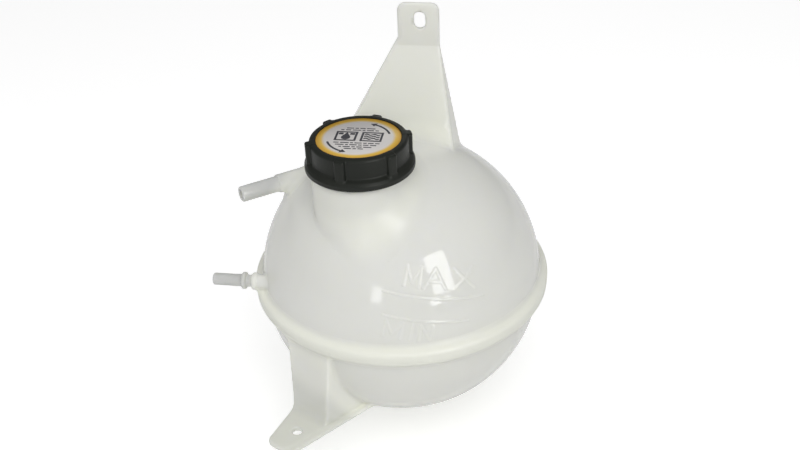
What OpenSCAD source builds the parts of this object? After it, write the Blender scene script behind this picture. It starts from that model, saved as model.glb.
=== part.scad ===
// Coolant expansion tank for a car engine bay.
// Two welded half shells make a ball with a filler neck, a hanging bracket, a foot and three hose
// spigots. A screw cap closes the neck and carries a pressure relief valve and a vacuum valve.
// Millimetres. +Z is up along the filler neck, -Y is the front, and +Y faces the wall behind.
// The origin is the centre of the upper fixing slot, on the back face of the hanging tab.

/* [Tank body] */
// Outer radius of the ball
ball_r = 91.2; // [80:0.1:110]
// Wall thickness of both shells
wall = 3; // [2:0.1:4.5]
// How far the weld flange stands out from the ball
flange_w = 4.8; // [3:0.1:8]
// Flange thickness on the upper shell
flange_up = 5.6; // [4:0.1:8]
// Flange thickness on the lower shell
flange_low = 4.4; // [4:0.1:8]
// Edge radius of the weld flange
flange_edge = 2.6; // [1:0.1:3.5]

/* [Filler neck] */
// Neck axis, sideways from the ball centre
neck_x = -16.1; // [-30:0.1:0]
// Neck axis, forwards from the ball centre
neck_y = -33.9; // [-40:0.1:-20]
// How far the boss under the cap stays inside the cap's wall
boss_step = 1; // [0:0.1:3]
// Gap between the boss top and the cap's lower edge
boss_gap = 1.6; // [0.8:0.1:5]
// Height of the neck rim above the top of the ball
neck_rise = 19.3; // [17:0.1:30]
// Room between neck and cap for both threads
thread_room = 2.4; // [2:0.1:3]
// Wall of the neck tube under its thread
neck_wall = 3; // [2:0.1:3.4]

/* [Hanging bracket] */
// Back face of the bracket, behind the ball centre
back_y = 42; // [30:0.5:60]
// Height of the slot centre above the top of the ball
slot_rise = 66.8; // [45:0.1:90]
// Sideways place of the slot centre
slot_x = 10.5; // [0:0.5:20]
// Width of the fixing slot
slot_w = 7; // [5:0.1:9]
// Length of the fixing slot
slot_l = 10.5; // [8:0.1:16]
// Width of the tab
tab_w = 26; // [20:0.5:34]
// Tab height above the slot centre
tab_top = 11; // [9:0.5:16]
// Tab height below the slot centre, down to the bend
tab_low = 16; // [10:0.5:20]
// Corner radius of the tab
tab_corner = 4.5; // [2:0.5:8]
// Bracket wall thickness
bracket_wall = 3; // [2:0.1:4]
// Flare angle of the left side
flare_left = 29.5; // [15:0.5:35]
// Flare angle of the right side
flare_right = 10.5; // [5:0.5:25]
// Lean of the bracket's front face
front_lean = 23.5; // [10:0.5:28]

/* [Foot bracket] */
// Direction of the foot, seen from above
foot_dir = 241.5; // [225:0.5:255]
// Foot hole, distance from the weld flange
foot_reach = 16; // [12:0.5:24]
// Radius of the foot hole
foot_hole_r = 3.25; // [2.5:0.05:4.5]
// Depth of the foot's underside below the weld plane
foot_z = 62; // [50:0.5:70]
// Thickness of the foot plate
foot_t = 2.8; // [2:0.1:5]
// Distance of the foot's tip from the hole
foot_tip = 17.5; // [12:0.5:25]
// Half width of the foot at its tip
foot_tip_w = 11; // [9:0.5:16]
// Widening of each side of the foot towards the tank, per millimetre
foot_taper = 0.21; // [0.1:0.01:0.3]
// Lean of the foot's web, outwards as it goes down
web_lean = 6.5; // [0:0.5:9]
// Wall of the foot's web and cheeks
web_wall = 2.8; // [2:0.1:4]
// How far the right cheek stands back from the edge of the foot plate
web_inset = 4.5; // [0:0.5:6]
// Fillet radius between web and foot plate
web_fillet = 6; // [2:0.5:10]

/* [Hose spigots] */
// Outer radius of the return spigot
return_r = 5; // [4:0.1:6]
// Bore radius of the return spigot
return_bore_r = 3; // [2:0.1:3.5]
// Direction of the return spigot, seen from above
return_dir = 218; // [200:1:235]
// Height of the return spigot above the weld plane
return_z = 66; // [55:0.5:72]
// Free length of the return spigot
return_len = 25; // [15:0.5:50]
// Radius of the bleed line's quick connect spigot
bleed_r = 3.945; // [3:0.005:5]
// Bore radius of the bleed spigot
bleed_bore_r = 2.2; // [1.5:0.1:2.5]
// Place of the bleed spigot, forwards from the ball centre
bleed_y = -38.5; // [-50:0.5:-20]
// Height of the bleed spigot above the weld plane
bleed_z = 11.5; // [10:0.5:20]
// Length of the bleed spigot in front of its bead
bleed_len = 19; // [14:0.5:26]
// Bead radius of the bleed spigot
bead_r = 5.6; // [4.8:0.1:7]
// Outer radius of the bottom outlet
outlet_r = 9; // [7:0.5:12]
// Bore radius of the bottom outlet
outlet_bore_r = 6.8; // [4:0.1:6.8]
// Length of the bottom outlet below the ball
outlet_len = 22; // [16:1:40]
// Sideways place of the bottom outlet
outlet_x = -12; // [-20:1:20]
// Place of the bottom outlet behind the ball centre
outlet_y = 12; // [0:1:20]

/* [Level marks] */
// Tilt of the level lines to the weld plane, as the tank hangs in the car
level_tilt = 12; // [0:1:20]
// Height of the upper line
max_z = 41; // [30:0.5:60]
// Height of the lower line
min_z = 28; // [20:0.5:30]
// Direction where the upper line starts, seen from above
max_from = -94; // [-110:1:-80]
// Direction where the upper line ends
max_to = -50; // [-70:1:-40]
// Direction where the lower line starts
min_from = -92; // [-110:1:-80]
// Direction where the lower line ends
min_to = -57; // [-70:1:-40]
// Thickness of a line
mark_t = 1.2; // [0.6:0.1:2]
// How far a line stands out from the ball
mark_h = 0.5; // [0.3:0.1:1]

/* [Cap] */
// Outer radius of the cap wall
cap_r = 29; // [28.9:0.1:33]
// How far the cap's lower skirt stands out from its wall
skirt_out = 3.6; // [2:0.1:7]
// Height of the cap's skirt
skirt_h = 5.5; // [4:0.1:7]
// Cap wall thickness
cap_wall = 2.6; // [2:0.1:3]
// Thickness of the cap's top
cap_top_t = 2; // [1.5:0.1:4]
// Depth of the cap below the rim of the neck
cap_skirt_depth = 13.4; // [12:0.1:14]
// Number of grip lugs
lugs = 6; // [4:1:12]
// Width of a grip lug
lug_w = 6.4; // [4:0.1:8]
// How far a lug stands out
lug_h = 2.4; // [1:0.1:3]
// Turn of the lugs when the cap is tight
lug_turn = -11; // [-30:1:30]
// Height of the rim round the label
label_rim_h = 0.9; // [0.6:0.1:2]
// Width of the black edge round the label
label_edge = 4.1; // [3:0.1:8]
// Thickness of the label
label_t = 0.4; // [0.2:0.1:0.6]

/* [Valve insert] */
// Radius of the insert's skirt in the neck bore
insert_gap = 0.6; // [0.4:0.1:1.5]
// Wall of the insert
insert_wall = 3.9; // [3.5:0.1:5]
// Depth of the insert below the rim
insert_depth = 20.5; // [19:0.5:30]
// Section radius of the sealing ring
ring_r = 1.5; // [1:0.1:1.7]
// Depth of the sealing ring below the rim
ring_depth = 11; // [9:0.5:13]
// Width between the valve seat's opening and the wall of the insert's chamber
seat_margin = 6; // [5.7:0.1:8]
// Wire radius of the pressure spring
spring_wire_r = 0.7; // [0.4:0.05:0.9]
// Turns of the pressure spring
spring_turns = 5; // [3:0.5:7]
// Radius of the vacuum valve's disc, as a share of the seat's opening
vacuum_share = 0.59; // [0.5:0.01:0.7]
// Wire radius of the vacuum spring
vacuum_wire_r = 0.25; // [0.15:0.05:0.3]

/* [Fits] */
// Gap between pieces that move on each other
move_gap = 0.3; // [0.2:0.05:0.5]
// Running clearance of the sealing ring in the neck
seal_gap = 0.05; // [0.02:0.01:0.1]

/* [Hidden] */
$fn = 96;
over = 1;
big = 400;
tank_white = [0.90, 0.90, 0.86];
cap_black = [0.16, 0.17, 0.16];

// Ball and flange
inner_r = ball_r - wall;
flange_r = ball_r + flange_w;
rim_z = ball_r + neck_rise;
slot_z = ball_r + slot_rise;
foot_hole_out = flange_r + foot_reach;

// Neck and cap levels, above the weld plane
cap_inner_r = cap_r - cap_wall;
skirt_r = cap_r + skirt_out;
label_r = cap_r - label_edge;
neck_r = cap_inner_r - thread_room;
neck_bore_r = neck_r - neck_wall;
cap_bottom = rim_z - cap_skirt_depth;
boss_top = cap_bottom - boss_gap;
boss_r = cap_r - boss_step;
boss_inner_r = boss_r - wall;

// Valve insert levels, above the weld plane
insert_flange_t = 1.2;
insert_flange_z = rim_z + move_gap;
insert_r = neck_bore_r - insert_gap;
chamber_r = insert_r - insert_wall;
insert_bottom = rim_z - insert_depth;
insert_floor_t = 2.5;
seat_h = 0.8;
seat_w = 1.5;
seat_r = chamber_r - seat_margin;
vacuum_r = seat_r * vacuum_share;
retainer_t = 2.5;
retainer_r = chamber_r + 1.6;
retainer_z = rim_z - 4;
retainer_top = retainer_z + retainer_t;
stub_r = chamber_r * 0.473;
stub_head_r = stub_r + 1;
lip_z = retainer_top + 0.5;
lip_t = 0.9;
stub_head_z = lip_z + lip_t + move_gap;
stub_head_t = 1.6;
stub_top = stub_head_z + stub_head_t;
ceiling_z = stub_top + move_gap;
hub_r = stub_head_r + move_gap;
hub_wall = 2;
label_z = ceiling_z + cap_top_t;
cap_top_z = label_z + label_rim_h;

// Valve plate, seal and springs
rest_gap = 0.1;
seal_t = 1.3;
seal_z = insert_bottom + insert_floor_t + seat_h + rest_gap;
seal_r = seat_r + seat_w + 2.2;
seal_hole_r = seat_r * 0.43;
plate_z = seal_z + seal_t;
plate_t = 1.4;
plate_top = plate_z + plate_t;
plate_r = seal_r + 0.8;
plate_hole_r = seal_hole_r - 0.9;
spring_r = plate_r - 2.4;
stem_r = seat_r * 0.133;
vacuum_t = 1.2;
vacuum_top = seal_z - rest_gap;
stem_len = 9;
clip_t = 0.8;
clip_r = seat_r * 0.324;
stem_top = vacuum_top + stem_len;
clip_z = stem_top - 0.6 - clip_t;
vacuum_spring_r = clip_r - 0.8;
vacuum_turns = 4;

// Upper bracket, in the plane of the wall behind
tab_left = slot_x - tab_w / 2 - 0.9;
tab_right = tab_left + tab_w;
tab_z = slot_z + tab_top;
bend_z = slot_z - tab_low;
left_bend_z = bend_z + 7.5;
root_z = 60;
tab_front = back_y - bracket_wall;

// Foot, in its own frame with x outwards
foot_tip_x = foot_hole_out + foot_tip;
foot_tip_r = 6;
foot_top = foot_t - foot_z;
web_top_x = flange_r - 5;
web_foot_x = web_top_x + (foot_z - flange_low) * tan(web_lean);
cheek_x = 50;
shoulder = 11;

// Return spigot, in its own frame with x along its outward direction
return_collar_r = return_r + 0.8;
return_offset = -41.2;
return_root = sqrt(pow(ball_r, 2) - pow(return_z, 2) - pow(return_offset, 2));
return_collar_len = 17;
return_block_out = 9;
return_collar_x = return_root + return_collar_len;

// Bleed spigot, pointing to the left
bleed_root = sqrt(pow(ball_r, 2) - pow(bleed_y, 2) - pow(bleed_z, 2));
bead_w = 3;
bead_pitch = 7.2;
bleed_shoulder_x = bleed_root + 5;

// Bottom outlet
outlet_z = -sqrt(pow(ball_r, 2) - pow(outlet_x, 2) - pow(outlet_y, 2));

// Side faces of the hanging bracket at a height, moved inwards by d
function left_at(z, d = 0) =
    tab_left - max(0, left_bend_z - z) * tan(flare_left) + d / cos(flare_left);
function right_at(z, d = 0) =
    tab_right + max(0, bend_z - z) * tan(flare_right) - d / cos(flare_right);

// Front face of the hanging bracket at a height, moved back by d
function front_at(z, d = 0) =
    tab_front - max(0, bend_z - z) * tan(front_lean) + d / cos(front_lean);

// Half width of the foot and its cheeks at a distance from the ball axis
function foot_half(x) = foot_tip_w + (foot_tip_x - foot_tip_r - x) * foot_taper;

// Outer face of the foot's web at a height, moved inwards by d
function web_at(z, d = 0) = web_top_x + (-flange_low - z) * tan(web_lean) - d / cos(web_lean);

// Points of an arc about a centre
function arc(x, y, r, a0, a1, n) =
    [for (i = [0:n]) let (a = a0 + (a1 - a0) * i / n) [x + r * cos(a), y + r * sin(a)]];

// Ring of four points round a wire's centre line, at turn angle a
function ring_at(r, z, a, wire, sides) =
    [for (i = [0:sides - 1]) let (s = 360 * i / sides)
        [(r + wire * cos(s)) * cos(a), (r + wire * cos(s)) * sin(a), z + wire * sin(s)]];

module placed() {
    translate([-slot_x, -back_y, -slot_z]) children();
}

module at_neck() {
    placed() translate([neck_x, neck_y, 0]) children();
}

// A closed wire helix between two heights, with its last turns lying flat
module wire_spring(r, wire, z0, z1, turns, sides, steps) {
    n = turns * steps;
    low = z0 + wire;
    high = z1 - wire;
    rings = [for (k = [0:n]) let (t = k / n, f = min(1, max(0, (t * turns - 0.75) / (turns - 1.5))))
        ring_at(r, low + (high - low) * f, 360 * turns * t, wire, sides)];
    points = [for (g = rings) for (p = g) p];
    skin = [for (k = [0:n - 1]) for (i = [0:sides - 1]) let (j = (i + 1) % sides)
        [k * sides + i, k * sides + j, (k + 1) * sides + j, (k + 1) * sides + i]];
    first = [[for (i = [0:sides - 1]) sides - 1 - i]];
    last = [[for (i = [0:sides - 1]) n * sides + i]];
    polyhedron(points, concat(skin, first, last), convexity = 8);
}

// Half section of the weld flange with round edges, between the ball's wall and its rim
module flange_section(h) {
    difference() {
        union() {
            translate([inner_r, 0]) square([flange_r - inner_r, h - flange_edge]);
            translate([inner_r, 0]) square([flange_r - inner_r - flange_edge, h]);
            translate([flange_r - flange_edge, h - flange_edge]) circle(flange_edge);
        }
        translate([0, -flange_edge * 2]) square([big, flange_edge * 2]);
    }
}

// Quarter disc of the ball, for turning into a half ball
module quarter(r) {
    intersection() {
        circle(r, $fn = 180);
        square(r + over);
    }
}

module half_ball(r) {
    rotate_extrude() quarter(r);
}

module neck_outside() {
    translate([neck_x, neck_y, 0]) {
        translate([0, 0, root_z - 10]) cylinder(r = boss_r, h = boss_top - root_z + 10);
        cylinder(r = neck_r, h = rim_z);
    }
}

module neck_inside() {
    translate([neck_x, neck_y, 0]) {
        translate([0, 0, root_z - 20])
            cylinder(r = boss_inner_r, h = boss_top - wall - root_z + 20);
        cylinder(r = neck_bore_r, h = rim_z + over);
    }
}

// Seen from the front: a tab with round corners over a flared body
module bracket_front_outline() {
    polygon(concat(
        [[left_at(root_z), root_z], [right_at(root_z), root_z], [tab_right, bend_z]],
        arc(tab_right - tab_corner, tab_z - tab_corner, tab_corner, 0, 90, 8),
        arc(tab_left + tab_corner, tab_z - tab_corner, tab_corner, 90, 180, 8),
        [[tab_left, left_bend_z]]
    ));
}

// Seen from the side: flat against the wall behind, with the front leaning out below the tab
module bracket_side_outline() {
    polygon([[back_y, root_z], [back_y, tab_z], [tab_front, tab_z], [tab_front, bend_z],
        [front_at(root_z), root_z]]);
}

module along_y(y0, y1) {
    translate([0, y1, 0]) rotate([90, 0, 0]) linear_extrude(y1 - y0) children();
}

module along_x(x0, x1) {
    translate([x0, 0, 0]) rotate([90, 0, 90]) linear_extrude(x1 - x0) children();
}

module hanging_bracket() {
    top = bend_z - bracket_wall;
    difference() {
        intersection() {
            along_y(-big / 2, back_y) bracket_front_outline();
            along_x(-big / 2, big / 2) bracket_side_outline();
        }
        // Hollow of the channel, open to the back
        intersection() {
            along_y(-big / 2, back_y + over) polygon([
                [left_at(root_z, bracket_wall), root_z - over],
                [right_at(root_z, bracket_wall), root_z - over],
                [right_at(top, bracket_wall), top],
                [left_at(top, bracket_wall), top]
            ]);
            along_x(-big / 2, big / 2) polygon([
                [back_y + over, root_z - over],
                [back_y + over, top],
                [front_at(top, bracket_wall), top],
                [front_at(root_z, bracket_wall), root_z - over]
            ]);
        }
    }
}

module slot_cut() {
    straight = slot_l - slot_w;
    translate([slot_x, back_y + over, slot_z]) rotate([90, 0, 0]) {
        for (side = [-1, 1])
            translate([0, side * straight / 2, 0]) cylinder(r = slot_w / 2, h = bracket_wall + 2 * over);
        translate([-slot_w / 2, -straight / 2, 0]) cube([slot_w, straight, bracket_wall + 2 * over]);
    }
}

// The return spigot leaves the ball beside the neck, over a block that runs down into the ball
module return_spigot() {
    tip = return_collar_x + return_len;
    rotate([0, 0, return_dir]) translate([0, return_offset, return_z]) {
        translate([return_root - 12, 0, 0]) rotate([0, 90, 0])
            cylinder(r = return_r, h = tip - return_root + 12 - 1);
        translate([tip - 1, 0, 0]) rotate([0, 90, 0]) cylinder(r1 = return_r, r2 = return_r - 1, h = 1);
        translate([return_root - 12, 0, 0]) rotate([0, 90, 0])
            cylinder(r = return_collar_r, h = return_collar_len + 12);
        translate([return_root - 12, -return_collar_r, -14])
            cube([12 + return_block_out, 2 * return_collar_r, 14]);
    }
}

module return_bore() {
    rotate([0, 0, return_dir]) translate([return_root - 30, return_offset, return_z])
        rotate([0, 90, 0]) cylinder(r = return_bore_r, h = 200);
}

// The bleed spigot has a bead that a quick connector snaps over, and a shoulder behind it
module bleed_spigot() {
    bead_x = bleed_shoulder_x + bead_pitch + bead_w / 2;
    tip = bead_x + bead_w / 2 + bleed_len;
    translate([0, bleed_y, bleed_z]) rotate([0, -90, 0]) {
        translate([0, 0, bleed_root - 3]) cylinder(r = bleed_r, h = tip - bleed_root + 3 - 0.8);
        translate([0, 0, tip - 0.8]) cylinder(r1 = bleed_r, r2 = bleed_r - 0.8, h = 0.8);
        translate([0, 0, bleed_root - 3]) cylinder(r = bleed_r + 0.7, h = bleed_shoulder_x - bleed_root + 3);
        translate([0, 0, bleed_shoulder_x]) cylinder(r = bead_r, h = bead_w + 0.5);
        translate([0, 0, bead_x - bead_w / 2]) cylinder(r = bead_r, h = bead_w);
    }
}

module bleed_bore() {
    translate([0, bleed_y, bleed_z]) rotate([0, -90, 0]) cylinder(r = bleed_bore_r, h = 200);
}

// One level line, a low rib round the front of the ball in a plane that is level in the car
module level_line(z, from, to) {
    r = sqrt(pow(ball_r, 2) - z * z);
    rotate([0, level_tilt, 0]) rotate([0, 0, from]) rotate_extrude(angle = to - from)
        translate([r - 2, z - mark_t / 2]) square([2 + mark_h, mark_t]);
}

module upper_shell() {
    color(tank_white) placed() difference() {
        union() {
            half_ball(ball_r);
            rotate_extrude() flange_section(flange_up);
            neck_outside();
            hanging_bracket();
            return_spigot();
            bleed_spigot();
            level_line(max_z, max_from, max_to);
            level_line(min_z, min_from, min_to);
        }
        half_ball(inner_r);
        neck_inside();
        slot_cut();
        return_bore();
        bleed_bore();
    }
}

// Seen from above: two cheeks that run together towards the round tip of the foot
module foot_top_outline(d, inset = 0) {
    tip = foot_tip_x - d;
    half = foot_half(foot_tip_x - foot_tip_r) - d;
    right = half - inset;
    polygon(concat(
        [[cheek_x, -foot_half(cheek_x) + d]],
        arc(tip - foot_tip_r, -half + foot_tip_r, foot_tip_r, -90, 0, 8),
        arc(tip - foot_tip_r, right - foot_tip_r, foot_tip_r, 0, 90, 8),
        [[cheek_x, foot_half(cheek_x) - d - inset]]
    ));
}

// Seen from the side: the leaning web, the foot plate and the soft corner between them
module foot_side_outline() {
    centre_z = foot_top + web_fillet;
    centre_x = web_at(centre_z) + web_fillet / cos(web_lean);
    polygon(concat(
        [[cheek_x, 0], [web_top_x, 0], [web_top_x, -flange_low]],
        arc(centre_x, centre_z, web_fillet, 180 + web_lean, 270, 8),
        [[foot_tip_x + over, foot_top], [foot_tip_x + over, -foot_z], [cheek_x, -foot_z]]
    ));
}

module foot_bracket() {
    rotate([0, 0, foot_dir]) {
        difference() {
            union() {
                intersection() {
                    translate([0, 0, -foot_z]) linear_extrude(foot_z) foot_top_outline(0, web_inset);
                    rotate([90, 0, 0]) translate([0, 0, -big / 2]) linear_extrude(big)
                        foot_side_outline();
                }
                // Foot plate, with a ledge beside the right cheek
                translate([0, 0, -foot_z]) linear_extrude(foot_t) foot_top_outline(0);
            }
            // Hollow between the cheeks, open below
            intersection() {
                translate([0, 0, -foot_z - over]) linear_extrude(foot_z) foot_top_outline(web_wall, web_inset);
                rotate([90, 0, 0]) translate([0, 0, -big / 2]) linear_extrude(big) polygon([
                    [0, -flange_low],
                    [web_at(-flange_low, web_wall), -flange_low],
                    [web_at(-foot_z, web_wall), -foot_z],
                    [web_at(-foot_z, web_wall), -foot_z - 2 * over],
                    [0, -foot_z - 2 * over]
                ]);
            }
        }
        // Shoulders under the flange
        for (side = [-1, 1]) {
            root = foot_half(web_top_x) - (side > 0 ? web_inset : 0) - over;
            translate([web_top_x - web_wall, 0, -flange_low]) rotate([90, 0, 90])
                linear_extrude(web_wall) polygon([
                    [side * root, 1],
                    [side * (root + shoulder), 1],
                    [side * (root + shoulder), 0],
                    [side * root, -shoulder]
                ]);
        }
    }
}

module foot_hole() {
    rotate([0, 0, foot_dir]) translate([foot_hole_out, 0, -foot_z - over])
        cylinder(r = foot_hole_r, h = foot_t + 2 * over);
}

// The bottom outlet points straight down, with a round bead that holds the hose
module outlet_spigot() {
    bottom = outlet_z - outlet_len;
    translate([outlet_x, outlet_y, 0]) {
        translate([0, 0, bottom + 1]) cylinder(r = outlet_r, h = -bottom - ball_r + 14);
        translate([0, 0, bottom]) cylinder(r1 = outlet_r - 1, r2 = outlet_r, h = 1);
        translate([0, 0, bottom + 3]) cylinder(r1 = outlet_r, r2 = outlet_r + 0.9, h = 1.5);
        translate([0, 0, bottom + 4.5]) cylinder(r1 = outlet_r + 0.9, r2 = outlet_r, h = 1.5);
        translate([0, 0, outlet_z - 2]) cylinder(r = outlet_r + 2.5, h = 6);
    }
}

module outlet_bore() {
    translate([outlet_x, outlet_y, -200]) cylinder(r = outlet_bore_r, h = 160);
}

module lower_shell() {
    color(tank_white) placed() difference() {
        union() {
            mirror([0, 0, 1]) half_ball(ball_r);
            mirror([0, 0, 1]) rotate_extrude() flange_section(flange_low);
            foot_bracket();
            outlet_spigot();
        }
        mirror([0, 0, 1]) half_ball(inner_r);
        foot_hole();
        outlet_bore();
    }
}

// Half section of the cap: the skirt, the wall with its round top edge, and the recessed top
module cap_section() {
    edge = 2;
    difference() {
        union() {
            translate([0, cap_bottom]) square([cap_r, cap_top_z - edge - cap_bottom]);
            translate([0, cap_bottom]) square([cap_r - edge, cap_top_z - cap_bottom]);
            translate([cap_r - edge, cap_top_z - edge]) circle(edge);
            polygon([[cap_r - 1, cap_bottom], [skirt_r - 0.6, cap_bottom], [skirt_r, cap_bottom + 0.6],
                [skirt_r, cap_bottom + skirt_h - 2], [skirt_r - 1, cap_bottom + skirt_h - 0.6],
                [cap_r, cap_bottom + skirt_h + 1.5], [cap_r - 1, cap_bottom + skirt_h + 1.5]]);
        }
        translate([-over, cap_bottom - over]) square([over + cap_inner_r, ceiling_z - cap_bottom + over]);
        translate([-over, label_z]) square([over + label_r + 0.2, big]);
    }
}

// Ring under the cap's top, with a lip that holds the insert and lets it turn
module cap_hub_section() {
    difference() {
        translate([0, lip_z]) square([hub_r + hub_wall, ceiling_z - lip_z + 0.5]);
        translate([-over, lip_z - over]) square([over + stub_r + move_gap, big]);
        translate([-over, lip_z + lip_t]) square([over + hub_r, big]);
    }
}

module grip_lug() {
    bottom = cap_bottom + skirt_h - 1;
    top = cap_top_z - 1.6;
    r = lug_w / 2;
    translate([cap_r - 4, -r, bottom]) cube([lug_h + 4 - 1.6, lug_w, top - bottom]);
    translate([cap_r - 4, -r + 1.6, bottom]) cube([lug_h + 4, lug_w - 3.2, top - bottom]);
    for (side = [-1, 1]) translate([cap_r + lug_h - 1.6, side * (r - 1.6), bottom])
        cylinder(r = 1.6, h = top - bottom, $fn = 32);
}

module cap_shell() {
    color(cap_black) at_neck() {
        difference() {
            union() {
                rotate_extrude() cap_section();
                for (k = [0:lugs - 1]) rotate([0, 0, 360 * (k + 0.5) / lugs + lug_turn]) grip_lug();
            }
            translate([0, 0, cap_bottom - over]) cylinder(r = cap_inner_r, h = ceiling_z - cap_bottom + over);
        }
        rotate_extrude() cap_hub_section();
    }
}

module cap_label() {
    color([0.82, 0.80, 0.74]) at_neck() translate([0, 0, label_z]) cylinder(r = label_r, h = label_t);
}

// The insert hangs in the neck bore; its floor is the seat of the pressure valve
module valve_housing() {
    floor_top = insert_bottom + insert_floor_t;
    ring_z = rim_z - ring_depth;
    windows = 6;
    color([0.20, 0.21, 0.20]) at_neck() difference() {
        rotate_extrude() difference() {
            union() {
                translate([0, insert_bottom]) square([insert_r, insert_flange_z - insert_bottom]);
                translate([0, insert_flange_z]) square([neck_r - 0.5, insert_flange_t]);
            }
            translate([-over, floor_top]) square([chamber_r + over, big]);
            translate([-over, retainer_z]) square([retainer_r + 0.05 + over, big]);
            translate([-over, insert_bottom - over]) square([seat_r + over, big]);
            translate([neck_bore_r - seal_gap - 2 * ring_r, ring_z - ring_r - 0.15])
                square([3 * ring_r, 2 * ring_r + 0.3]);
        }
        // Windows that let the vented air out under the cap
        for (k = [0:windows - 1]) rotate([0, 0, 360 * k / windows])
            translate([chamber_r - over, -2, retainer_z - 2.6]) cube([insert_wall + 3, 4, 2]);
    }
    color([0.20, 0.21, 0.20]) at_neck() rotate_extrude()
        translate([seat_r, floor_top - 0.5]) square([seat_w, seat_h + 0.5]);
}

module valve_retainer() {
    color([0.24, 0.25, 0.24]) at_neck() difference() {
        rotate_extrude() {
            translate([0, retainer_z]) square([retainer_r, retainer_t]);
            translate([0, retainer_top - 0.5]) square([stub_r, stub_top - retainer_top + 0.5]);
            translate([0, stub_head_z]) square([stub_head_r, stub_head_t]);
        }
        for (k = [0:5]) rotate([0, 0, 60 * k + 30]) translate([(stub_r + chamber_r) / 2, 0, retainer_z - over])
            cylinder(r = 1.4, h = retainer_t + 2 * over, $fn = 32);
    }
}

module cap_seal() {
    color([0.08, 0.08, 0.08]) at_neck() rotate_extrude()
        translate([neck_bore_r - seal_gap - ring_r, rim_z - ring_depth]) circle(ring_r, $fn = 32);
}

module pressure_valve_plate() {
    color([0.72, 0.73, 0.74]) at_neck() rotate_extrude() difference() {
        union() {
            translate([plate_hole_r, plate_z]) square([plate_r - plate_hole_r, plate_t]);
            translate([plate_hole_r, plate_z - seal_t + 0.3])
                square([seal_hole_r - plate_hole_r - 0.05, seal_t]);
        }
    }
}

module pressure_valve_seal() {
    color([0.10, 0.10, 0.10]) at_neck() rotate_extrude()
        translate([seal_hole_r, seal_z]) square([seal_r - seal_hole_r, seal_t]);
}

module pressure_spring() {
    color([0.75, 0.76, 0.78]) at_neck()
        wire_spring(spring_r, spring_wire_r, plate_top, retainer_z, spring_turns, 8, 20);
}

module vacuum_valve() {
    color([0.76, 0.62, 0.32]) at_neck() {
        translate([0, 0, vacuum_top - vacuum_t]) cylinder(r = vacuum_r, h = vacuum_t);
        translate([0, 0, vacuum_top - 0.5]) cylinder(r = stem_r, h = stem_len + 0.5);
    }
}

module vacuum_spring_seat() {
    color([0.72, 0.73, 0.74]) at_neck() translate([0, 0, clip_z]) difference() {
        cylinder(r = clip_r, h = clip_t);
        translate([0, 0, -over]) cylinder(r = stem_r, h = clip_t + 2 * over);
    }
}

module vacuum_spring() {
    color([0.75, 0.76, 0.78]) at_neck()
        wire_spring(vacuum_spring_r, vacuum_wire_r, plate_top, clip_z, vacuum_turns, 6, 18);
}

upper_shell();
lower_shell();
cap_shell();
cap_label();
valve_housing();
valve_retainer();
cap_seal();
pressure_valve_plate();
pressure_valve_seal();
pressure_spring();
vacuum_valve();
vacuum_spring_seat();
vacuum_spring();
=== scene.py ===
import math
import bpy
import numpy as np
import openvdb
from mathutils import Matrix, Vector


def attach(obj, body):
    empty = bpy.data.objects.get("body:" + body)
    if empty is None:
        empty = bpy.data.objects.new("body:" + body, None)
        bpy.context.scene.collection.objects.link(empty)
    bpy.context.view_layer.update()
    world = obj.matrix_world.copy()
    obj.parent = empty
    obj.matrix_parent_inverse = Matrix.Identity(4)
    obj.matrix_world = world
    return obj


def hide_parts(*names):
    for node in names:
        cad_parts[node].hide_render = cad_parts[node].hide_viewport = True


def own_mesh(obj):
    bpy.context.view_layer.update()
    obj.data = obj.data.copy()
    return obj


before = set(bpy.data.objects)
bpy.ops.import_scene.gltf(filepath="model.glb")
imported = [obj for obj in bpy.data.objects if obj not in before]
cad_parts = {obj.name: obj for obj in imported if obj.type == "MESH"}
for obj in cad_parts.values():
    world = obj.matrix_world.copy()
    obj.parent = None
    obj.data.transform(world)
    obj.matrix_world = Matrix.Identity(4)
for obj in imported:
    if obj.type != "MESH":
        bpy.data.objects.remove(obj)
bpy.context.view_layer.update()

# Lengths are in millimetres from the ball's centre, as in the part's source, until place() turns
# them into the frame's metres. The shells and the cap are drawn as distance fields and meshed, so
# that one form runs into the next with a soft fillet, as moulded plastic does.
ORIGIN = np.array([10.5, 42.0, 158.0])
MM = 0.001
BALL_R, WALL = 91.2, 3.0
FLANGE_R, FLANGE_IN, FLANGE_UP, FLANGE_DOWN, FLANGE_SUNK, FLANGE_EDGE = 96.0, 82.0, 5.6, 4.4, 40.0, 2.5
SEAM_LAP = 1.2                  # the upper half runs down over the seam, so that no gap shows there
NECK = np.array([-16.1, -33.9])
NECK_R, BORE_R, NECK_LOW, RIM_Z = 24.0, 21.0, 60.0, 110.5
BOSS_R, BOSS_FOOT, BOSS_TOP = 28.0, 45.0, 95.5
PAST, FAR = 9.0, 400.0          # how far cutting forms run past what they cut
SHARP = 0.1                     # edge of a bore, as good as sharp
# Fillet radii where the forms leave the ball, and where the boss opens into it
FILLET = {"neck": 1.0, "bracket": 2.5, "return": 6.0, "bleed": 2.0, "flange_up": 4.0,
          "flange_down": 1.5, "foot": 2.0, "outlet": 3.0, "inside": 4.0}


def place(points):
    return (np.asarray(points, dtype=np.float64) - ORIGIN) * MM


# ---------------------------------------------------------------- distance fields

def hyp(a, b):
    return np.sqrt(a * a + b * b)


def join(a, b, r=0.0):
    """Union of two distance fields with a round fillet, of one radius or of one for each point."""
    return np.maximum(r, np.minimum(a, b)) - hyp(np.maximum(r - a, 0), np.maximum(r - b, 0))


def meet(a, b, r=0.0):
    """What two distance fields share, with a round edge of radius r."""
    return -join(-a, -b, r)


def cut(a, b, r=0.0):
    """The first distance field without the second, with a round edge of radius r."""
    return -join(-a, b, r)


def slab(u, lo, hi):
    return np.maximum(lo - u, u - hi)


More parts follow.
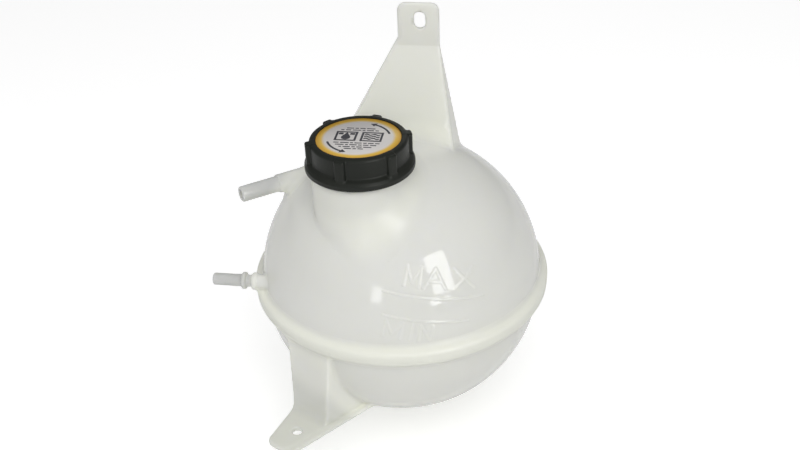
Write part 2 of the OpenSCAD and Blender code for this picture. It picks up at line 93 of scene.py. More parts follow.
def rod(rho, u, r, lo, hi, edge=0.3):
    """Round bar: rho is the distance from its axis and u the place along it."""
    return meet(rho - r, slab(u, lo, hi), edge)


def smooth(t):
    """Runs softly from 0 to 1."""
    t = np.clip(t, 0, 1)
    return t * t * (3 - 2 * t)


def polygon(u, v, pts):
    """Signed distance to a closed outline in one plane."""
    pts = np.asarray(pts, dtype=np.float32)
    d = np.full(np.broadcast(u, v).shape, 1e9, dtype=np.float32)
    sign = np.ones_like(d)
    for i in range(len(pts)):
        a, b = pts[i], pts[i - 1]
        e = b - a
        wu, wv = u - a[0], v - a[1]
        t = np.clip((wu * e[0] + wv * e[1]) / (e @ e), 0, 1)
        d = np.minimum(d, (wu - e[0] * t) ** 2 + (wv - e[1] * t) ** 2)
        c1, c2, c3 = v >= a[1], v < b[1], e[0] * wv > e[1] * wu
        flip = (c1 & c2 & c3) | (~c1 & ~c2 & ~c3)
        sign = np.where(flip, -sign, sign)
    return sign * np.sqrt(d)


def arc(x, y, r, a0, a1, n=8):
    t = np.radians(np.linspace(a0, a1, n + 1))
    return [(x + r * math.cos(a), y + r * math.sin(a)) for a in t]


def turned(x, y, degrees):
    c, s = math.cos(math.radians(degrees)), math.sin(math.radians(degrees))
    return x * c + y * s, y * c - x * s


# Hanging bracket: a raking front wall between two raking cheeks, open at the back, with an
# upright tab that has a slot
BACK_Y, BRACKET_WALL, BRACKET_FOOT = 42.0, 3.0, 50.0
TAB_L, TAB_R, TAB_TOP, TAB_CORNER = -3.4, 22.6, 169.0, 5.5
BEND_L, BEND = 147.0, 142.0
FLARE_L, FLARE_R, RAKE = math.radians(29.5), math.radians(10.5), math.radians(23.5)
SLOT_X, SLOT_Z, SLOT_R, SLOT_HALF = 10.5, 158.0, 3.5, 1.75


def left_at(z, d=0.0):
    return TAB_L - max(0, BEND_L - z) * math.tan(FLARE_L) + d / math.cos(FLARE_L)


def right_at(z, d=0.0):
    return TAB_R + max(0, BEND - z) * math.tan(FLARE_R) - d / math.cos(FLARE_R)


def front_at(z, d=0.0):
    return BACK_Y - BRACKET_WALL - max(0, BEND - z) * math.tan(RAKE) + d / math.cos(RAKE)


def bracket(x, y, z):
    z0, w, c = BRACKET_FOOT, BRACKET_WALL, TAB_CORNER
    outline = [(left_at(z0), z0), (right_at(z0), z0), (TAB_R, BEND)]
    outline += arc(TAB_R - c, TAB_TOP - c, c, 0, 90) + arc(TAB_L + c, TAB_TOP - c, c, 90, 180)
    outline += [(TAB_L, BEND_L)]
    side = [(BACK_Y, z0), (BACK_Y, TAB_TOP + PAST), (BACK_Y - w, TAB_TOP + PAST),
            (BACK_Y - w, BEND), (front_at(z0), z0)]
    solid = meet(polygon(x, z, outline), polygon(y, z, side), 1.3)
    low, top = z0 - PAST, BEND - w
    inner = [(left_at(z0, w), low), (right_at(z0, w), low),
             (right_at(top, w), top), (left_at(top, w), top)]
    deep = [(BACK_Y + PAST, low), (BACK_Y + PAST, top), (front_at(top, w), top),
            (front_at(z0, w), low)]
    hollow = meet(polygon(x, z, inner), polygon(y, z, deep), 1.0)
    slot = hyp(x - SLOT_X, np.maximum(np.abs(z - SLOT_Z) - SLOT_HALF, 0)) - SLOT_R
    return cut(cut(solid, hollow, 0.5), slot, 0.3)


# Hose spigots. Each function gives the solid and the bore that is cut through it and the wall.
RET_DIR, RET_OFF, RET_Z, RET_ROOT, RET_SUNK = 218.0, -41.2, 66.0, 47.6, 12.0
RET_R, RET_BORE_R, RET_LEN, RET_BORE_SUNK = 5.0, 3.0, 25.0, 30.0
COLLAR_R, COLLAR_END = 5.8, RET_ROOT + 17
RET_BLOCK, RET_BLOCK_DROP = 9.0, 14.0


def return_spigot(x, y, z):
    u, v = turned(x, y, RET_DIR)
    v = v - RET_OFF
    rho = hyp(v, z - RET_Z)
    start = RET_ROOT - RET_SUNK
    d = rod(rho, u, RET_R, start, COLLAR_END + RET_LEN, 1.0)
    d = join(d, rod(rho, u, COLLAR_R, start, COLLAR_END, 0.4), 0.5)
    block = meet(slab(u, start, RET_ROOT + RET_BLOCK), np.abs(v) - COLLAR_R, 0.8)
    block = meet(block, slab(z, RET_Z - RET_BLOCK_DROP, RET_Z), 0.5)
    return join(d, block, 0.6), rod(rho, u, RET_BORE_R, RET_ROOT - RET_BORE_SUNK, FAR, SHARP)


BLEED_Y, BLEED_Z, BLEED_START, BLEED_LEN = -38.5, 11.5, 75.0, 29.2
BLEED_R, BLEED_ROOT_R, BEAD_R, BLEED_BORE_R = 3.945, 4.65, 5.6, 2.2
SHOULDER_X, SHOULDER_LEN, BEAD_PITCH, BEAD_LEN = 81.87 + 5, 3.5, 7.2, 3.0


def bleed_spigot(x, y, z):
    rho, u = hyp(y - BLEED_Y, z - BLEED_Z), -x
    bead = SHOULDER_X + BEAD_PITCH
    d = rod(rho, u, BLEED_R, BLEED_START, SHOULDER_X + BLEED_LEN, 0.8)
    d = join(d, rod(rho, u, BLEED_ROOT_R, BLEED_START, SHOULDER_X, 0.2), 0.4)
    d = join(d, rod(rho, u, BEAD_R, SHOULDER_X, SHOULDER_X + SHOULDER_LEN, 0.9), 0.5)
    d = join(d, rod(rho, u, BEAD_R, bead, bead + BEAD_LEN, 1.2), 0.5)
    return d, rod(rho, u, BLEED_BORE_R, 0, FAR, SHARP)


def flange(rho, z, h):
    """The welded flange up to a height h; it runs down into the ball's wall."""
    return meet(meet(rho - FLANGE_R, FLANGE_IN - rho), slab(z, -FLANGE_SUNK, h), FLANGE_EDGE)


# Level lines and their words, on a plane that is level when the tank hangs in the car. A stroke is
# given by two points, each with its direction in degrees about the tilted axis and its height.
TILT = math.radians(12.0)
LETTERS = {
    "M": ((0, 0, 0, 1), (0, 1, 0.5, 0.2), (0.5, 0.2, 1, 1), (1, 1, 1, 0)),
    "A": ((0, 0, 0.5, 1), (0.5, 1, 1, 0), (0.2, 0.36, 0.8, 0.36)),
    "X": ((0, 0, 1, 1), (0, 1, 1, 0)),
    "I": ((0, 0, 0, 1),),
    "N": ((0, 0, 0, 1), (0, 1, 1, 0), (1, 0, 1, 1)),
}


def word(h0, height, letters):
    return [(start + width * a, h0 + height * b, start + width * c, h0 + height * d)
            for letter, start, width in letters for a, b, c, d in LETTERS[letter]]


LINES = [(-94.0, 41.0, -50.0, 41.0), (-92.0, 28.0, -57.0, 28.0)]
FAINT = [(-95.0, 55.8, -88.6, 64.9)]
WORDS = word(46.2, 9.8, (("M", -86.3, 6.4), ("A", -78.0, 10.0), ("X", -63.6, 9.3)))
WORDS += word(15.4, 9.9, (("M", -90.2, 6.6), ("I", -79.9, 0), ("N", -76.6, 4.8)))
# Strokes, and for each kind its half width, its height and how wide its slope is
MARKS = ((LINES, 1.1, 0.40, 0.8), (FAINT, 0.9, 0.12, 0.8), (WORDS, 1.35, 0.30, 1.0))
MARKS_LO, MARKS_HI, MARKS_INNER_R = (-7, -FAR, 9), (60, -50, 66), 90.0
MARKS_SPREAD = 1.8


def marks_near(p):
    """Points of the ball in the field of the level marks."""
    return ((p > MARKS_LO) & (p < MARKS_HI)).all(axis=1) & ((p * p).sum(axis=1) > MARKS_INNER_R ** 2)


def marks(x, y, z, spread=0.0):
    """How far the marks stand out from the ball at points near it. Spread makes each stroke wider."""
    out = np.zeros(np.shape(x))
    near = marks_near(np.stack([x, y, z], axis=1))
    x, y, z = x[near], y[near], z[near]
    r = np.sqrt(x * x + y * y + z * z)
    tx = x * math.cos(TILT) - z * math.sin(TILT)
    tz = x * math.sin(TILT) + z * math.cos(TILT)
    a = np.degrees(np.arctan2(y, tx))
    h = tz / r * BALL_R
    raised = np.zeros(len(r))
    for strokes, half, height, slope in MARKS:
        for a0, h0, a1, h1 in strokes:
            level = math.sqrt(BALL_R ** 2 - ((h0 + h1) / 2) ** 2)
            scale, lean = np.radians(1.0) * level, BALL_R / level
            eu, ev = (a1 - a0) * scale, (h1 - h0) * lean
            wu, wv = (a - a0) * scale, (h - h0) * lean
            t = np.clip((wu * eu + wv * ev) / (eu * eu + ev * ev), 0, 1)
            d = hyp(wu - eu * t, wv - ev * t)
            raised = np.maximum(raised, height * smooth((half + spread - d) / slope))
    out[near] = raised
    return out


def marks_close(p):
    """Points on a stroke or just beside it."""
    return marks(p[:, 0], p[:, 1], p[:, 2], MARKS_SPREAD) > 0


# The boss stands out a little to the left, where it meets the ball sharply; on the right it runs
# out softly.
BOSS_FULLER, BOSS_LEFT = 0.9, 0.7
BLEND_SHARP, BLEND_MORE, BLEND_FROM, BLEND_SPAN = 1.2, 12.8, -24.0, 36.0


def upper_field(x, y, z):
    r = np.sqrt(x * x + y * y + z * z)
    if x.ndim == 1:
        r = r - marks(x, y, z)
    neck = hyp(x - NECK[0], y - NECK[1])
    blend = BLEND_SHARP + BLEND_MORE * smooth((x - NECK[0] - BLEND_FROM) / BLEND_SPAN)
    boss = rod(hyp(x - NECK[0] + BOSS_LEFT, y - NECK[1]), z, BOSS_R + BOSS_FULLER,
               BOSS_FOOT, BOSS_TOP, 1.6)
    d = join(r - BALL_R, boss, blend)
    d = join(d, rod(neck, z, NECK_R, NECK_LOW, RIM_Z, 0.7), FILLET["neck"])
    d = join(d, bracket(x, y, z), FILLET["bracket"])
    spigot, bore = return_spigot(x, y, z)
    d = join(d, spigot, FILLET["return"])
    small, small_bore = bleed_spigot(x, y, z)
    d = join(d, small, FILLET["bleed"])
    d = join(d, flange(hyp(x, y), z, FLANGE_UP), FILLET["flange_up"])
    inside = rod(neck, z, BOSS_R - WALL, BOSS_FOOT, BOSS_TOP - WALL, 1.5)
    inside = join(r - (BALL_R - WALL), inside, FILLET["inside"])
    inside = join(inside, rod(neck, z, BORE_R, NECK_LOW, RIM_Z + 20, SHARP), 0.5)
    d = cut(d, inside, 0.4)
    d = cut(d, bore, 0.3)
    d = cut(d, small_bore, 0.3)
    return np.maximum(d, -z - SEAM_LAP)


# Foot: a plate with a bolt hole that tapers outwards, under a web between two cheeks
FOOT_DIR, FOOT_IN, FOOT_TIP, FOOT_BOTTOM, FOOT_T = 241.5, 40.0, 129.5, 62.0, 2.8
TIP_R, TIP_HALF, FOOT_TAPER = 6.0, 11.0, 0.21
HOLE_U, HOLE_R = 112.0, 3.25
WEB_TOP, WEB_Z, WEB_RAKE, WEB_T, WEB_BEND_R, WEB_INSET = 91.0, -4.4, 6.5, 2.8, 6.0, 4.5
CHEEK_OUT, CHEEK_Z, CHEEK_SPAN, CHEEK_FADE = 2.6, 48.0, 42.0, 10.0
FOOT_TOP, FOOT_BEYOND = 2.0, 20.0
WING_IN, WING_OUT, WING_DROP = 3.0, 11.0, 11.0


def foot_half(u):
    return TIP_HALF + (FOOT_TIP - TIP_R - u) * FOOT_TAPER


def web_at(z, d=0.0):
    rake = math.radians(WEB_RAKE)
    return WEB_TOP + (WEB_Z - z) * math.tan(rake) - d / math.cos(rake)


def foot_outline(d, inset):
    """The foot from above, moved inwards by d, and by inset too on its right side."""
    tip, left, right = FOOT_TIP - d, d - TIP_HALF, TIP_HALF - d - inset
    return ([(FOOT_IN, d - foot_half(FOOT_IN))]
            + arc(tip - TIP_R, left + TIP_R, TIP_R, -90, 0)
            + arc(tip - TIP_R, right - TIP_R, TIP_R, 0, 90)
            + [(FOOT_IN, foot_half(FOOT_IN) - d - inset)])


def foot(x, y, z):
    u, v = turned(x, y, FOOT_DIR)
    # The left cheek leans out towards the flange.
    lean = np.clip((z + CHEEK_Z) / CHEEK_SPAN, 0, 1) * np.clip(-v / CHEEK_FADE, 0, 1)
    v = v + CHEEK_OUT * lean
    top = FOOT_T - FOOT_BOTTOM
    bend_z = top + WEB_BEND_R
    bend_u = web_at(bend_z) + WEB_BEND_R / math.cos(math.radians(WEB_RAKE))
    side = [(FOOT_IN, FOOT_TOP), (WEB_TOP, FOOT_TOP), (WEB_TOP, WEB_Z)]
    side += arc(bend_u, bend_z, WEB_BEND_R, 180 + WEB_RAKE, 270)
    beyond = FOOT_TIP + FOOT_BEYOND
    side += [(beyond, top), (beyond, -FOOT_BOTTOM), (FOOT_IN, -FOOT_BOTTOM)]
    solid = meet(polygon(u, v, foot_outline(0, WEB_INSET)), polygon(u, z, side), 1.1)
    plate = meet(polygon(u, v, foot_outline(0, 0)), slab(z, -FOOT_BOTTOM, top), 1.0)
    solid = join(solid, plate, 1.2)
    low = web_at(-FOOT_BOTTOM, WEB_T)
    inner = [(0, WEB_Z), (web_at(WEB_Z, WEB_T), WEB_Z), (low, -FOOT_BOTTOM), (low, -90), (0, -90)]
    hollow = meet(polygon(u, v, foot_outline(WEB_T, WEB_INSET)), polygon(u, z, inner), 0.8)
    d = cut(solid, hollow, 0.5)
    for sign, reach in ((1, foot_half(WEB_TOP) - WEB_INSET), (-1, foot_half(WEB_TOP))):
        near, out = reach - WING_IN, reach + WING_OUT
        wing = polygon(v * sign, z, [(near, FOOT_TOP), (out, FOOT_TOP), (out, 0),
                                     (reach - 1, -WING_DROP), (near, -WING_DROP)])
        d = join(d, meet(wing, slab(u, WEB_TOP - WEB_T, WEB_TOP), 0.5), 1.5)
    return cut(d, hyp(u - HOLE_U, v) - HOLE_R, 0.4)


# Bottom outlet: radius, lowest and highest place of the tube, its bead and its collar
OUTLET_X, OUTLET_Y, OUTLET_BORE_R = -12.0, 12.0, 6.8
OUTLET_TUBE, OUTLET_BEAD = (9.0, -111.6, -70), (9.9, -108.6, -105.6)
OUTLET_COLLAR = (11.5, -91.6, -80)


def outlet(x, y, z):
    rho = hyp(x - OUTLET_X, y - OUTLET_Y)
    d = rod(rho, z, *OUTLET_TUBE, 1.0)
    d = join(d, rod(rho, z, *OUTLET_BEAD, 1.0), 0.8)
    d = join(d, rod(rho, z, *OUTLET_COLLAR, 0.8), 0.6)
    return d, rod(rho, z, OUTLET_BORE_R, -FAR, -60, SHARP)


def lower_field(x, y, z):
    r = np.sqrt(x * x + y * y + z * z)
    d = join(r - BALL_R, foot(x, y, z), FILLET["foot"])
    spigot, bore = outlet(x, y, z)
    d = join(d, spigot, FILLET["outlet"])
    d = join(d, flange(hyp(x, y), -z, FLANGE_DOWN), FILLET["flange_down"])
    d = cut(d, r - (BALL_R - WALL), 0.4)
    d = cut(d, bore, 0.5)
    return np.maximum(d, z)


# Cap, about the neck axis
CAP_B, CAP_TOP, CAP_R, SKIRT_R, CAP_IN = 97.1, 115.5, 29.0, 32.6, 26.4
CEIL_Z, LABEL_Z, LABEL_R = 112.6, 114.6, 24.9
LUGS, LUG_TURN, LUG_HALF, LUG_OUT = 6, math.radians(11), 3.2, 2.4
CAP_THREAD = {"depth": 1.0, "pitch": 4.0, "z0": CAP_B + 1.5, "z1": 109.5}
HUB_IN, HUB_OUT, HUB_LO, HUB_HI = 9.1, 11.1, 109.5, 113.1
LIP_IN, LIP_OUT, LIP_HI = 8.1, 10.0, 110.4
CREST_SHARE, FLANK_SHARE, RUN_OUT = 0.30, 0.10, 1.2


def inner_thread(rho, phi, z, root, depth, pitch, z0, z1):
    """A trapezoid thread of one start inside a bore, fading out at both ends."""
    turn = (z - z0) / pitch - phi / (2 * math.pi)
    off = np.abs(turn - np.round(turn)) * pitch
    fade = np.clip(np.minimum(z - z0, z1 - z) / RUN_OUT, 0, 1)
    height = np.clip((pitch * CREST_SHARE - off) / (pitch * FLANK_SHARE), 0, 1) * depth * fade
    return (root - rho) - height


def cap_field(x, y, z):
    rho = hyp(x, y)
    phi = np.arctan2(y, x)
    d = rod(rho, z, CAP_R, CAP_B, CAP_TOP, 2.0)
    skirt = polygon(rho, z, [(CAP_R - 2, CAP_B), (SKIRT_R - 0.6, CAP_B), (SKIRT_R, CAP_B + 0.6),
                             (SKIRT_R, CAP_B + 3.5), (SKIRT_R - 1, CAP_B + 4.9),
                             (CAP_R, CAP_B + 6.4), (CAP_R - 2, CAP_B + 6.4)])
    d = join(d, skirt, 0.6)
    sector = np.mod(phi + LUG_TURN, 2 * math.pi / LUGS) - math.pi / LUGS
    lu, lv = rho * np.cos(sector), rho * np.sin(sector)
    lug = meet(slab(lu, CAP_R - 5, CAP_R + LUG_OUT), np.abs(lv) - LUG_HALF, 1.6)
    lug = meet(lug, slab(z, CAP_B + 4.5, CAP_TOP - 0.5), 0.9)
    d = join(d, lug, 1.0)
    d = cut(d, rod(rho, z, LABEL_R + 0.2, LABEL_Z, FAR, SHARP), 0.35)
    cavity = np.maximum(rho - CAP_IN, slab(z, -FAR, CEIL_Z))
    d = cut(d, cavity, 0.4)
    ridge = np.maximum(inner_thread(rho, phi, z, CAP_IN, **CAP_THREAD), slab(z, CAP_B + 1, 110.5))
    d = np.minimum(d, np.maximum(ridge, rho - CAP_IN - 0.5))
    hub = np.minimum(np.maximum(slab(rho, HUB_IN, HUB_OUT), slab(z, HUB_LO, HUB_HI)),
                     np.maximum(slab(rho, LIP_IN, LIP_OUT), slab(z, HUB_LO, LIP_HI)))
    return np.minimum(d, hub)


# ---------------------------------------------------------------- meshes

def add_mesh(name, points, faces, material, body, normals=None, smooth_faces=True):
    mesh = bpy.data.meshes.new(name)
    mesh.from_pydata([tuple(p) for p in points], [], faces)
    mesh.materials.append(material)
    if smooth_faces:
        mesh.polygons.foreach_set("use_smooth", np.ones(len(mesh.polygons), dtype=bool))
    if normals is not None:
        mesh.normals_split_custom_set_from_vertices(normals)
    mesh.update()
    obj = bpy.data.objects.new(name, mesh)
    bpy.context.scene.collection.objects.link(obj)
    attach(obj, body)
    return obj


def finer(points, faces, rounds):
    """Splits the long edges between wanted points, and the faces on both sides of them. Each round
    gives the longest edge that stays and a function that says which points are wanted."""
    points = [tuple(p) for p in points]
    for longest, wanted in rounds:
        chosen = wanted(np.array(points))
        middle, out = {}, []
        for face in faces:
            ring = []
            for a, b in zip(face, face[1:] + face[:1]):
                ring.append(a)
                if chosen[a] and chosen[b] and math.dist(points[a], points[b]) > longest:
                    key = (min(a, b), max(a, b))
                    if key not in middle:
                        middle[key] = len(points)
                        points.append(tuple((p + q) / 2 for p, q in zip(points[a], points[b])))
                    ring.append(middle[key])
            if len(ring) == len(face):
                out.append(face)
                continue
            centre = len(points)
            points.append(tuple(sum(points[k][i] for k in ring) / len(ring) for i in range(3)))
            out += [[a, b, centre] for a, b in zip(ring, ring[1:] + ring[:1])]
        faces = out
    return np.array(points), faces


BAND, NUDGE, PROBE, NORMAL_PROBE = 3.0, 0.3, 0.15, 0.2      # in grid steps


def field_mesh(name, field, lo, hi, step, adapt, material, body, shift=(0, 0, 0), fine=()):
    """The zero surface of a distance field on a grid of the given step. Its vertices and normals
    are put on the exact surface, and adapt lets flat parts have fewer faces."""
    lo, hi = np.array(lo, dtype=np.float64), np.array(hi, dtype=np.float64)
    n = np.ceil((hi - lo) / step).astype(int) + 1
    axes = [(lo[i] + step * np.arange(n[i])).astype(np.float32) for i in range(3)]
    x, y, z = axes[0][:, None, None], axes[1][None, :, None], axes[2][None, None, :]
    values = np.broadcast_to(field(x, y, z), tuple(n))
    values = np.clip(values, -BAND * step, BAND * step).astype(np.float32)
    grid = openvdb.FloatGrid(BAND * step)
    grid.copyFromArray(np.ascontiguousarray(values))
    points, tris, quads = grid.convertToPolygons(0.0, adapt)
    points = lo + np.asarray(points, dtype=np.float64) * step
    faces = [list(f) for f in np.asarray(tris)] + [list(f) for f in np.asarray(quads)]
    if fine:
        points, faces = finer(points, faces, fine)

    def at(p):
        return field(p[:, 0], p[:, 1], p[:, 2])

    def slope(p, e):
        g = np.stack([at(p + np.eye(3)[i] * e) - at(p - np.eye(3)[i] * e) for i in range(3)], axis=1)
        return g / np.maximum(np.linalg.norm(g, axis=1, keepdims=True), 1e-9)

    for _ in range(2):
        move = np.clip(at(points), -NUDGE * step, NUDGE * step)
        points = points - slope(points, PROBE * step) * move[:, None]
    normals = slope(points, NORMAL_PROBE * step)
    first = np.asarray(faces[0])
    a, b, c = points[first[0]], points[first[1]], points[first[2]]
    if np.dot(np.cross(b - a, c - a), normals[first[0]]) < 0:
        faces = [f[::-1] for f in faces]
    return add_mesh(name, place(points + np.asarray(shift)), faces, material, body, normals)


def lathe_mesh(name, section, centre, material, body, sides=96):
    """A section of (radius, height) points turned about an upright axis."""
    turns = np.linspace(0, 2 * math.pi, sides, endpoint=False)
    points = [(centre[0] + r * math.cos(a), centre[1] + r * math.sin(a), z)
              for a in turns for r, z in section]
    m = len(section)
    faces = []
    for i in range(sides):
        k = (i + 1) % sides
        faces += [[i * m + j, k * m + j, k * m + j + 1, i * m + j + 1] for j in range(m - 1)]
    return add_mesh(name, place(points), faces, material, body)


def tube_faces(rings, sides):
    """Faces of a tube whose points come ring after ring, with both ends closed."""
    faces = [[i * sides + k, (i + 1) * sides + k, (i + 1) * sides + (k + 1) % sides,
              i * sides + (k + 1) % sides] for i in range(rings) for k in range(sides)]
    return faces + [list(range(sides)), [rings * sides + k for k in range(sides)][::-1]]


# ---------------------------------------------------------------- materials

def new_material(name):
    mat = bpy.data.materials.new(name)
    mat.use_nodes = True
    return mat, mat.node_tree, mat.node_tree.nodes["Principled BSDF"]


def noise_colour(tree, shader, dark, light, scale):
    """Base colour that wanders between two tones; gives the coordinates it uses."""
    coords = tree.nodes.new("ShaderNodeTexCoord")
    noise = tree.nodes.new("ShaderNodeTexNoise")
    noise.inputs["Scale"].default_value = scale
    noise.inputs["Detail"].default_value = 4.0
    ramp = tree.nodes.new("ShaderNodeValToRGB")
    low, high = ramp.color_ramp.elements
    low.position, low.color = 0.3, (*dark, 1)
    high.position, high.color = 0.7, (*light, 1)
    tree.links.new(coords.outputs["Object"], noise.inputs["Vector"])
    tree.links.new(noise.outputs["Fac"], ramp.inputs["Fac"])
    tree.links.new(ramp.outputs["Color"], shader.inputs["Base Color"])
    return coords


def grain(tree, shader, coords, scale, distance, strength):
    noise = tree.nodes.new("ShaderNodeTexNoise")
    noise.inputs["Scale"].default_value = scale
    noise.inputs["Detail"].default_value = 3.0
    bump = tree.nodes.new("ShaderNodeBump")
    bump.inputs["Strength"].default_value = strength
    bump.inputs["Distance"].default_value = distance
    tree.links.new(coords.outputs["Object"], noise.inputs["Vector"])
    tree.links.new(noise.outputs["Fac"], bump.inputs["Height"])
    tree.links.new(bump.outputs["Normal"], shader.inputs["Normal"])


def maths(tree, operation, *values):
    """A math node; each value is a number or a socket."""
    node = tree.nodes.new("ShaderNodeMath")
    node.operation = operation
    for i, value in enumerate(values):
        if isinstance(value, (int, float)):
            node.inputs[i].default_value = value
        else:
            tree.links.new(value, node.inputs[i])
    return node.outputs[0]


def length_of(tree, *parts):
    """Length of a vector from its parts."""
    total = maths(tree, "MULTIPLY", parts[0], parts[0])
    for part in parts[1:]:
        total = maths(tree, "ADD", total, maths(tree, "MULTIPLY", part, part))
    return maths(tree, "SQRT", total)


def ramp_between(tree, value, lo, hi, at_lo, at_hi):
    """Runs softly from at_lo, where the value is lo, to at_hi, where it is hi."""
    node = tree.nodes.new("ShaderNodeMapRange")
    node.interpolation_type = "SMOOTHSTEP"
    for name, number in (("From Min", lo), ("From Max", hi), ("To Min", at_lo), ("To Max", at_hi)):
        node.inputs[name].default_value = number
    tree.links.new(value, node.inputs["Value"])
    return node.outputs["Result"]


# Where the tank's plastic and its painted shade change, in metres: the two ends of each soft step
DULL_FLANGE, DEEP_LIGHT = (0.0060, 0.0135), (0.0045, 0.0095)    # height off the seam
DULL_BOSS, BOSS_SHADE_FADE = (0.0340, 0.0475), (0.0300, 0.0475)       # distance from the neck axis
OFF_BALL = (0.097, 0.106)                                       # distance from the ball's centre
# Painted shade on the parts off the ball: where it starts and ends, its tone, and its share on the
# foot, the boss and the bracket
SHADE_ABOVE, SHADE_BELOW, BRACKET_SHADE_FROM = (-0.006, 0.0), (0.080, 0.100), (0.0, 0.010)
SHADE_TONE = (0.70, 0.70, 0.75, 1)
FOOT_SHADE_SHARE, BOSS_SHADE_SHARE, BRACKET_SHADE_SHARE = 0.67, 0.15, 0.22
ROUGH, FLANGE_ROUGH, BOSS_ROUGH = 0.05, 0.42, 0.26
SHINE, BOSS_SHINE = 0.5, 0.3
DEPTH, FLANGE_DEPTH = 0.7, 0.15


def milky_plastic(name, dark, light):
    """Translucent moulding: a duller skin on the welded flange and round the boss, and a greyer, bluer
    painted shade on the parts that stand off the ball."""
    mat, tree, shader = new_material(name)
    coords = noise_colour(tree, shader, dark, light, 14.0)
    grain(tree, shader, coords, 220.0, 0.00006, 0.12)
    split = tree.nodes.new("ShaderNodeSeparateXYZ")
    tree.links.new(coords.outputs["Object"], split.inputs[0])
    x, y, z = (maths(tree, "ADD", split.outputs[i], ORIGIN[i] * MM) for i in range(3))
    span = length_of(tree, x, y, z)
    neck = length_of(tree, maths(tree, "SUBTRACT", x, NECK[0] * MM),
                     maths(tree, "SUBTRACT", y, NECK[1] * MM))
    height = maths(tree, "ABSOLUTE", z)
    rough = maths(tree, "MAXIMUM", ramp_between(tree, height, *DULL_FLANGE, FLANGE_ROUGH, ROUGH),
                  ramp_between(tree, neck, *DULL_BOSS, BOSS_ROUGH, ROUGH))
    tree.links.new(rough, shader.inputs["Roughness"])
    deep = ramp_between(tree, height, *DEEP_LIGHT, FLANGE_DEPTH, DEPTH)
    tree.links.new(deep, shader.inputs["Subsurface Weight"])
    shine = ramp_between(tree, neck, *DULL_BOSS, BOSS_SHINE, SHINE)
    tree.links.new(shine, shader.inputs["Specular IOR Level"])
    # Painted shade: fully on the spigots, less on the foot, and a little on the bracket and the boss
    shade_amount = maths(tree, "MINIMUM", ramp_between(tree, z, *SHADE_ABOVE, FOOT_SHADE_SHARE, 1.0),
                   ramp_between(tree, neck, *BOSS_SHADE_FADE, BOSS_SHADE_SHARE, 1.0))
    shade_amount = maths(tree, "MULTIPLY", shade_amount, ramp_between(tree, z, *SHADE_BELOW, 1.0, 0.0))
    shade_amount = maths(tree, "MAXIMUM", shade_amount, ramp_between(tree, y, *BRACKET_SHADE_FROM, 0.0, BRACKET_SHADE_SHARE))
    # The painted shade darkens the base colour here.
    tone = tree.nodes.new("ShaderNodeMix")
    tone.data_type, tone.blend_type = "RGBA", "MULTIPLY"
    tone.inputs["B"].default_value = SHADE_TONE
    tree.links.new(maths(tree, "MULTIPLY", ramp_between(tree, span, *OFF_BALL, 0.0, 1.0), shade_amount),
                   tone.inputs["Factor"])
    tree.links.new(shader.inputs["Base Color"].links[0].from_socket, tone.inputs["A"])
    tree.links.new(tone.outputs["Result"], shader.inputs["Base Color"])
    shader.inputs["IOR"].default_value = 1.49
    shader.inputs["Subsurface Radius"].default_value = (1.0, 1.0, 0.85)
    shader.inputs["Subsurface Scale"].default_value = 0.008
    return mat


def plain_material(name, dark, light, rough, metal=0.0, scale=60.0, bump=0.00005,
                   bump_scale=900.0, shine=0.5):
    mat, tree, shader = new_material(name)
    coords = noise_colour(tree, shader, dark, light, scale)
    grain(tree, shader, coords, bump_scale, bump, 0.3)
    shader.inputs["Roughness"].default_value = rough
    shader.inputs["Metallic"].default_value = metal
    shader.inputs["Specular IOR Level"].default_value = shine
    return mat


tank_upper = milky_plastic("tank_plastic_upper", (0.86, 0.868, 0.775), (0.88, 0.888, 0.80))
tank_lower = milky_plastic("tank_plastic_lower", (0.85, 0.858, 0.765), (0.87, 0.878, 0.79))
cap_black = plain_material("cap_plastic", (0.009, 0.011, 0.008), (0.014, 0.016, 0.012), 0.42,
                           bump=0.00012, bump_scale=1400.0, shine=0.26)
insert_black = plain_material("insert_plastic", (0.035, 0.035, 0.035), (0.06, 0.06, 0.06), 0.38)
rubber = plain_material("seal_rubber", (0.018, 0.018, 0.018), (0.03, 0.03, 0.03), 0.6)
steel = plain_material("spring_steel", (0.55, 0.56, 0.58), (0.68, 0.69, 0.71), 0.25, 1.0, 400.0)
sheet_steel = plain_material("plate_steel", (0.55, 0.56, 0.57), (0.66, 0.67, 0.68), 0.32, 1.0, 300.0)
brass = plain_material("valve_brass", (0.62, 0.47, 0.20), (0.75, 0.60, 0.28), 0.28, 1.0, 300.0)
ink = plain_material("label_ink", (0.035, 0.035, 0.045), (0.055, 0.055, 0.065), 0.4)


def label_material():
    """Printed film: a pale field that runs into a yellow ring at the rim."""
    mat, tree, shader = new_material("label_print")
    coords = tree.nodes.new("ShaderNodeTexCoord")
    split = tree.nodes.new("ShaderNodeSeparateXYZ")
    tree.links.new(coords.outputs["Object"], split.inputs[0])
    centre = place([NECK[0], NECK[1], 0])
    x, y = (maths(tree, "SUBTRACT", split.outputs[i], float(centre[i])) for i in range(2))
    out = length_of(tree, x, y)
    share = maths(tree, "MULTIPLY", out, 1 / (LABEL_R * MM))
    ramp = tree.nodes.new("ShaderNodeValToRGB")
    stops = ramp.color_ramp.elements
    stops[0].position, stops[0].color = 0.80, (0.66, 0.635, 0.62, 1)
    stops[1].position, stops[1].color = 0.98, (0.62, 0.34, 0.04, 1)
    stops.new(0.88).color = (0.74, 0.48, 0.07, 1)
    tree.links.new(share, ramp.inputs["Fac"])
    tree.links.new(ramp.outputs["Color"], shader.inputs["Base Color"])
    grain(tree, shader, coords, 700.0, 0.00003, 0.2)
    shader.inputs["Roughness"].default_value = 0.3
    return mat


label_print = label_material()

# ---------------------------------------------------------------- tank

